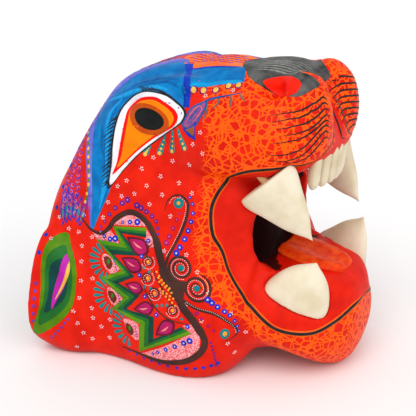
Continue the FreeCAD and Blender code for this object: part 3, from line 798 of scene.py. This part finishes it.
teal_marks, green_marks, gold_marks, blue_marks = bmesh.new(), bmesh.new(), bmesh.new(), bmesh.new()
fans, fan_hearts = bmesh.new(), bmesh.new()
FANS = [(on_left((63, 85), (62, 88), (56, 87), (47, 79), (54, 74), (60, 78)), 57, 83, -86),
        (on_left((57, 58), (56, 63), (50, 63), (43, 57), (46, 50), (53, 50)), 52, 57, -89),
        (on_left((42, 40), (36, 41), (28, 39), (28, 26), (34, 27), (39, 32)), 36, 34, -90)]
for outline, y, z, x in FANS:
    patch(fans, outline, CHEEK_FACING, 0.16)
    heart = [(x, y + 4, z + 3), (x, y - 1, z + 3), (x, y - 4, z - 2), (x, y - 1, z - 6), (x, y + 3, z - 2)]
    patch(fan_hearts, heart, CHEEK_FACING, 0.28)
    dot(green_marks, (x, y, z), 1.5, lift=0.2, stretch=1.5)
    for k in range(9):
        angle = math.radians(-84 + k * 19)
        near = Vector((x, y + 8.0 * math.cos(angle), z + 8.5 * math.sin(angle)))
        far = Vector((x, y + 17 * math.cos(angle), z + 17 * math.sin(angle)))
        stroke(teal_marks, [near, (near + far) / 2, far], 3.0, 0.18, tip=0.2, root=0.8)
    for k in range(5):
        dot(blue_marks, (x, y - 5 - k * 0.6, z + 3 - k * 2.0), 0.6, lift=0.16, segments=8)
lay_paint("fan_pink_fields", fans, pink_speckle)
lay_paint("fan_brown_hearts", fan_hearts, coat("fan_brown", (120, 44, 30), (96, 34, 26)))
for centre in on_left((26, 84), (21, 82), (24, 70), (19, 70), (12, 58), (8, 59), (4, 60), (-9, 52)):
    dot(teal_marks, centre, 1.3, lift=0.1)
dot(teal_marks, SPIRAL_UP, 2.6, lift=0.1)
dot(teal_marks, SPIRAL_DOWN, 2.6, lift=0.1)
dot(teal_marks, (-68, 5, 134), 4.2, lift=0.05, segments=16)
dot(teal_marks, (-79, -40, 43), 3.8, lift=0.05, stretch=1.2, segments=16)
dot(gold_marks, (-68, 5, 134), 1.6, lift=0.18)
dot(gold_marks, (-79, -40, 43), 1.9, lift=0.18, stretch=1.25)
for centre in SMALL_SPIRALS:
    dot(gold_marks, centre, 1.5, lift=0.12)
CLUSTER_ROWS = [((-84, 15, 83), (-85, 10, 78), 3), ((-85, 13, 79), (-86, 3, 73), 5), ((-85, 12, 76),
        (-86, 1, 70), 5),
                ((-86, 11, 71), (-87, -1, 66), 5), ((-86, 8, 68), (-88, -3, 61), 5)]
for start, end, count in CLUSTER_ROWS:
    for k in range(count):
        dot(gold_marks, Vector(start).lerp(Vector(end), k / (count - 1)), 0.95, lift=0.38, segments=8)
lay_paint("teal_marks", teal_marks, teal, film=0)
lay_paint("green_marks", green_marks, coat("mark_green", (60, 140, 40), (40, 110, 30)), film=0)
lay_paint("gold_marks", gold_marks, coat("mark_gold", (250, 178, 60), (244, 140, 30)), film=0)

BLUE_ROWS = [([(-3, 139), (-7, 130), (-5, 113), (1, 99)], 8), ([(-47, 44), (-43, 57), (-27, 69)], 8),
             ([(66, 104), (60, 100), (53, 101)], 4), ([(48, 114), (36, 116)], 3), ([(15, 18), (-16, 36)], 6)]


def evenly(guides, count):
    """A number of evenly spaced places on a smooth line through a few (y, z) guides."""
    line = flowing([(0, y, z) for y, z in guides], 0.5)
    return on_left(*(tuple(line[round(k * (len(line) - 1) / (count - 1))][1:]) for k in range(count)))


blue_centres = bmesh.new()
for guides, count in BLUE_ROWS:
    for k, centre in enumerate(evenly(guides, count)):
        radius = 1.35 + 1.4 * k / (count - 1)
        dot(blue_marks, centre, radius, lift=0.08)
        dot(blue_centres, centre, radius * 0.36, lift=0.2, segments=8)
for centre in on_left((25, 104), (29, 92), (29, 78), (23, 63), (12, 51), (-14, 47)):
    dot(blue_marks, centre, 1.9, lift=0.08)
    dot(blue_centres, centre, 0.7, lift=0.2, segments=8)
for k in range(12):
    dot(blue_marks, (-88 + 0.4 * k, 38 - 7.0 * k, 11 + 0.08 * (k - 5) ** 2),
        1.0 + 0.08 * k, lift=0.05, segments=10)
lay_paint("blue_dots", blue_marks, coat("dot_blue", (16, 52, 204), (10, 36, 172)), film=0)
lay_paint("blue_dot_centres", blue_centres, coat("dot_pale", (214, 206, 226), (190, 184, 214)), film=0)

PURPLE_ROWS = [([(66, 108), (57, 122), (46, 131)], 6), ([(18, 110), (22, 120), (38, 128)], 7)]
purple_marks, magenta_marks, mark_centres = bmesh.new(), bmesh.new(), bmesh.new()
for guides, count in PURPLE_ROWS:
    for k, centre in enumerate(evenly(guides, count)):
        radius = 1.2 + 1.4 * k / (count - 1)
        dot(purple_marks, centre, radius, lift=0.06)
        dot(mark_centres, centre, radius * 0.34, lift=0.18, segments=8)
for k, centre in enumerate(evenly([(3, 127), (10, 105)], 5)):
    dot(magenta_marks, centre, 1.1 + 0.36 * k, lift=0.06)
    dot(mark_centres, centre, 0.35 + 0.1 * k, lift=0.18, segments=8)
for k, centre in enumerate(evenly([(-20, 58), (-33, 46)], 4)):
    dot(magenta_marks, centre, 1.8 - 0.25 * k, lift=0.06)
for k in range(9):
    dot(purple_marks, (-84, -31 - 0.9 * k, 36 - 3.2 * k), 1.0, lift=0.05, segments=8)
lay_paint("purple_dots", purple_marks, coat("dot_purple", (96, 40, 150), (78, 28, 124)), film=0)
lay_paint("magenta_dots", magenta_marks, coat("dot_magenta", (176, 22, 110), (150, 14, 94)), film=0)
lay_paint("dot_pink_centres", mark_centres, pink, film=0)


# ---------------------------------------------------------------- back of the brow
# Behind the brow a strip of fine swirls, a string of green and gold beads
# and a tuft of blue-edged teal flames run down towards the ear.

BEAD_STRING = [(-56, 93, 174), (-62, 88, 169), (-66, 85, 163), (-70, 83, 154), (-73, 81, 144), (-75, 81, 134),
               (-77, 82, 124)]
strings = {"green": bmesh.new(), "gold": bmesh.new()}
for k, centre in enumerate(flowing(BEAD_STRING, 3.2)):
    dot(strings[("green", "gold")[k % 2]], centre, 1.25, lift=0.05, stretch=1.3)
lay_paint("string_green_beads", strings["green"], coat("bead_green", (96, 140, 30), (70, 112, 20)), film=0)
lay_paint("string_gold_beads", strings["gold"], gold, film=0)
curls = {"violet": bmesh.new(), "pink": bmesh.new()}
for row in range(19):
    z = 198 - 4.6 * row
    for column in (-1, 0, 1):
        place = (-43 - 2.0 * row, 96 + 5.6 * column + 0.8 * math.sin(row * 2.1), z + 1.5 * column)
        way = 1 if (row + column) % 2 else -1
        stroke(curls["violet"], spiral(place, 2.7, 0.9, 1.15, 80 * row + 120 * column, way),
               0.9, 0.2, tip=0.2, step=0.8)
        stroke(curls["pink"], spiral(place, 1.9, 0.5, 0.8, 80 * row + 160, -way), 0.75, 0.26,
               tip=0.2, step=0.8)
lay_paint("curls_violet", curls["violet"], violet_paint)
lay_paint("curls_pink", curls["pink"], pink)
flames, flame_hearts = bmesh.new(), bmesh.new()
for k in range(6):
    top_point = Vector((-74 - 0.5 * k, 104 - 4.6 * k, 134 - 1.5 * k))
    foot = Vector((-81, 100 - 3.0 * k, 110 - 2.2 * abs(k - 3)))
    side = Vector((0, 2.1, 0))
    loop = [top_point, top_point.lerp(foot, 0.6) + side, foot, top_point.lerp(foot, 0.6) - side, top_point]
    stroke(flames, loop, 0.9, 0.2, tip=0, root=0)
    stroke(flame_hearts, [top_point.lerp(foot, 0.3), top_point.lerp(foot, 0.85)], 1.8, 0.18, tip=0.3, root=0.6)
lay_paint("flame_blue_loops", flames, deep_blue)
lay_paint("flame_teal_hearts", flame_hearts, teal)


# ---------------------------------------------------------------- ear leaf
# A big leaf is painted on the outside of each ear in three greens around
# a magenta drop with an orange heart.

EAR_FACING = (-0.85, -0.5, 0.15)
LEAF = [(-85, 95, 99), (-90, 88, 90), (-94, 81, 74), (-98, 81, 53), (-101, 85, 40), (-106, 97, 27),
        (-110, 113, 17),
        (-111, 111, 30), (-110, 107, 42), (-107, 106, 60), (-102, 108, 78), (-94, 107, 92)]

leaf_heart = Vector((-99, 95, 62))
for name, share, light, dark_shade in (("leaf_light_green", 1.0, (86, 136, 10), (66, 116, 6)),
                                       ("leaf_mid_green", 0.76, (34, 112, 44), (24, 92, 36)),
                                       ("leaf_dark_green", 0.52, (14, 72, 66), (10, 56, 54))):
    leaf = bmesh.new()
    patch(leaf, [leaf_heart + (Vector(p) - leaf_heart) * share for p in LEAF], EAR_FACING, 0.98 - 0.83 * share)
    lay_paint(name, leaf, coat(name + "_paint", light, dark_shade), film=0.8)
drop = bmesh.new()
patch(drop, [(-93, 90, 85), (-96, 86, 78), (-98, 86, 70), (-100, 89, 60), (-103, 94, 50), (-105, 98, 42),
             (-103, 98, 52),
             (-101, 96, 62), (-98, 94, 72), (-95, 93, 80)], EAR_FACING, 0.85, edge=1.6)
lay_paint("leaf_magenta_drop", drop, coat("drop_magenta", (194, 44, 176), (172, 30, 154)), film=0.8)
drop = bmesh.new()
stroke(drop, on_left((87, 80), (87, 71), (90, 61), (95, 50)), 3.0, 1.0, tip=0.7, root=0.2)
lay_paint("leaf_orange_heart", drop, gold, film=0.8)
ear_dots = bmesh.new()
for k in range(6):
    dot(ear_dots, (-109 - 0.4 * k, 110 + 0.4 * k, 62 - 6.2 * k), 1.7 - 0.1 * abs(k - 2), lift=0.05,
        segments=10)
    dot(ear_dots, (-101 - 1.0 * k, 86 + 2.6 * k, 34 - 3.4 * k), 1.3, lift=0.05, segments=10)
lay_paint("ear_violet_dots", ear_dots, violet_paint, film=0)


# ---------------------------------------------------------------- crown of the head
# The dome behind the brows carries a fan of magenta petals with a gold eye
# and rows of round dots, in the same hand as the cheeks.

crown_rims, crown_petals, crown_hearts, crown_leaves = bmesh.new(), bmesh.new(), bmesh.new(), bmesh.new()
CROWN = Vector((0, 70, 222))
CROWN_FACING = (0, 0.45, 0.9)
along_dome, across_dome = Vector((0, 0.9, -0.45)), Vector((1, 0, 0))
for k in range(9):
    angle = math.radians(40 * k)
    ray = across_dome * math.sin(angle) + along_dome * math.cos(angle)
    side = across_dome * math.cos(angle) - along_dome * math.sin(angle)
    leaf = [CROWN + ray * 17, CROWN + ray * 17, CROWN + ray * 11 + side * 4.2, CROWN + ray * 6 + side * 2.4,
            CROWN + ray * 6 - side * 2.4, CROWN + ray * 11 - side * 4.2]
    middle = CROWN + ray * 11
    patch(crown_rims, leaf, CROWN_FACING, 0.2)
    patch(crown_petals, [middle + (p - middle) * 0.74 for p in leaf], CROWN_FACING, 0.32)
    stroke(crown_hearts, [CROWN + ray * 8, CROWN + ray * 14], 1.5, 0.45, tip=0.5, root=0.5)
    half = math.radians(20)
    between = (across_dome * math.sin(angle + half) + along_dome * math.cos(angle + half))
    stroke(crown_leaves, [CROWN + between * reach for reach in (11, 15, 20)], 3.0, 0.2, tip=0.2, root=0.8)
lay_paint("crown_petal_rims", crown_rims, coat("crown_rim", (104, 22, 44), (84, 16, 36)), mirrored=False)
lay_paint("crown_petals", crown_petals, magenta, mirrored=False)
lay_paint("crown_petal_hearts", crown_hearts, pink, mirrored=False)
lay_paint("crown_teal_rays", crown_leaves, teal, mirrored=False)
crown_gold, crown_blue = bmesh.new(), bmesh.new()
dot(crown_gold, CROWN, 3.4, lift=0.1, segments=16)
for k in range(18):
    angle = math.radians(20 * k)
    ray = across_dome * math.sin(angle) + along_dome * math.cos(angle)
    dot(crown_blue, CROWN + ray * 23, 1.7, lift=0.05)
for k in range(16):
    dot(crown_gold, (-30 + 4.0 * k, 101 - 0.02 * (k - 7.5) ** 2, 190), 1.6, lift=0.05)
for k in range(21):
    angle = math.radians(-8 + 9.8 * k)
    dot(crown_blue, (95 * math.cos(angle), 112, 78 + 112 * math.sin(angle)), 1.9, lift=0.05)
lay_paint("crown_gold_dots", crown_gold, gold, film=0, mirrored=False)
lay_paint("crown_blue_dots", crown_blue, deep_blue, film=0, mirrored=False)


# ---------------------------------------------------------------- little white flowers
# Tiny five-stroke flowers fill the plain red between the patterns.

FLOWERS = on_left((55, 140), (32, 143), (48, 145), (41, 136), (51, 133), (62, 127), (28, 130), (10, 124),
                  (65, 115), (19, 138), (7, 148), (-4, 142), (11, 99), (-7, 99), (-17, 88), (-27, 74),
                  (-11, 63), (-24, 53), (-43, 59), (-51, 42), (-41, 34), (-43, 24), (94, 102), (85, 101),
                  (106, 94), (81, 91), (73, 99), (79, 80), (77, 66), (78, 52), (82, 41), (79, 31), (82, 9),
                  (75, 23), (68, 36), (62, 29), (69, 44), (55, 36), (56, 20), (104, 109), (82, 114),
                  (69, 68), (69, 18), (29, 164), (14, 163), (-1, 163), (37, 155), (22, 151), (-4, 179),
                  (-5, 211), (-9, 188), (-13, 174), (-24, 216))
flowers = bmesh.new()


def flower(centre):
    """Five short strokes round a point."""
    place, facing = on_wood(Vector(centre) * MM)
    turn = facing.to_track_quat("Z", "Y").to_matrix()
    start = hand.uniform(0, 72)
    for k in range(5):
        angle = math.radians(start + 72 * k + hand.uniform(-12, 12))
        step = turn @ Vector((math.cos(angle), math.sin(angle), 0)) * 1.2
        dot(flowers, place / MM + step, 0.36, stretch=2.1, lean=math.degrees(angle) - 90, segments=6)


for centre in FLOWERS:
    flower(centre)
both_sides(flowers)
known = kdtree.KDTree(len(painted) * 2)
for k, place in enumerate(painted):
    known.insert(place, 2 * k)
    known.insert(Vector((-place.x, place.y, place.z)), 2 * k + 1)
known.balance()
sown = []
for _ in range(900):
    aim = Vector((hand.uniform(-1, 1), hand.uniform(0.1, 1.2), hand.uniform(0.0, 1.2))).normalized()
    place, _, _, _ = head_skin.ray_cast(Vector((0, 10, 110)) * MM + aim * 0.4, -aim)
    if place is None or place.y > 108 * MM or place.z < 112 * MM or known.find(place)[2] < 5.5 * MM:
        continue
    if not (place.y > 86 * MM or place.z > 200 * MM):
        continue
    if any((place - other).length < 10.5 * MM for other in sown):
        continue
    sown.append(place)
    flower(place / MM)
lay_paint("white_flowers", flowers, white, film=0, mirrored=False)
lay_paint("white_stitches", stitches, white, film=0)


# ---------------------------------------------------------------- teeth
# The teeth are carved apart from cream-stained wood and pegged into the
# jaws: four big canines and a row of six small incisors.

TOOTH_CREAM = (234, 224, 200)
TOOTH_TAN = (216, 200, 166)

tooth_stain = coat("tooth_stain", TOOTH_CREAM, TOOTH_TAN, roughness=0.5, patch_size=22 * MM)
TEETH = [f"{jaw}_canine_{side}" for jaw in ("upper", "lower") for side in ("left", "right")]
TEETH += [f"upper_incisor_{number}" for number in range(1, 7)]
for node in TEETH:
    tooth = welded("carved_" + node, [node])
    sanded(tooth, 1.0 * MM, 22 if "canine" in node else 5)
    tooth.data.materials.clear()
    tooth.data.materials.append(tooth_stain)
    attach(tooth, "root")
    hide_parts(node)


# ---------------------------------------------------------------- pegs and dowels
# Turned hardwood pegs hold the canines and dowels hold the ear blocks. They
# stay bare wood, glued in blind holes.

peg_wood = coat("peg_wood", (214, 178, 128), (190, 148, 100), roughness=0.6, patch_size=3 * MM)
for node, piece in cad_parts.items():
    if node.endswith("_peg") or "_dowel_" in node:
        piece.data.materials.clear()
        piece.data.materials.append(peg_wood)


# ---------------------------------------------------------------- tongue
# A thin carved tongue lies in the lower jaw, brushed orange over red.

tongue = welded("brushed_tongue", ["tongue"])
sanded(tongue, 1.2 * MM, 6)
tongue_coat = coat("tongue_coat", (242, 84, 16), (222, 44, 8), roughness=0.4, patch_size=6 * MM)
tongue.data.materials.clear()
tongue.data.materials.append(tongue_coat)
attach(tongue, "root")
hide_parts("tongue")


# ---------------------------------------------------------------- table and light
# A wide pale table under soft, even daylight from a big window.

bench = bmesh.new()
bmesh.ops.create_grid(bench, x_segments=1, y_segments=1, size=4.0)
table = finished("table", bench)
table_paint = bpy.data.materials.new("table_paint")
table_paint.use_nodes = True
table_paint.node_tree.nodes["Principled BSDF"].inputs["Base Color"].default_value = (0.9, 0.9, 0.9, 1)
table_paint.node_tree.nodes["Principled BSDF"].inputs["Roughness"].default_value = 0.8
table.data.materials.append(table_paint)

sky = bpy.data.worlds.new("daylight")
bpy.context.scene.world = sky
sky.use_nodes = True
sky.node_tree.nodes["Background"].inputs["Color"].default_value = (1, 1, 1, 1)
sky.node_tree.nodes["Background"].inputs["Strength"].default_value = 0.75


def lamp(name, azimuth, elevation, strength, softness):
    """A far soft light that shines from a side and height given in degrees."""
    light = bpy.data.lights.new(name, "SUN")
    light.energy = strength
    light.angle = math.radians(softness)
    holder = bpy.data.objects.new(name, light)
    bpy.context.scene.collection.objects.link(holder)
    turn, rise = math.radians(azimuth), math.radians(elevation)
    back = Vector((math.sin(turn) * math.cos(rise), -math.cos(turn) * math.cos(rise), math.sin(rise)))
    holder.rotation_mode = "QUATERNION"
    holder.rotation_quaternion = back.to_track_quat("Z", "Y")


lamp("key_light", azimuth=-80, elevation=55, strength=1.2, softness=40)
lamp("front_light", azimuth=-20, elevation=35, strength=0.5, softness=40)

camera = bpy.data.objects.new("camera", bpy.data.cameras.new("camera"))
bpy.context.scene.collection.objects.link(camera)
CAMERA_TURN, CAMERA_RISE, CAMERA_LENS = -61, 21, 91.95
CAMERA_AIM, CAMERA_AWAY = Vector((0, 0.018, 0.105)), 0.85
turn, rise = math.radians(CAMERA_TURN), math.radians(CAMERA_RISE)
back = Vector((math.sin(turn) * math.cos(rise), -math.cos(turn) * math.cos(rise), math.sin(rise)))
camera.location = CAMERA_AIM + back * CAMERA_AWAY
camera.rotation_mode = "QUATERNION"
camera.rotation_quaternion = back.to_track_quat("Z", "Y")
camera.data.lens = CAMERA_LENS
camera.data.sensor_width = 36
bpy.context.scene.camera = camera
bpy.context.scene.view_settings.view_transform = "Standard"
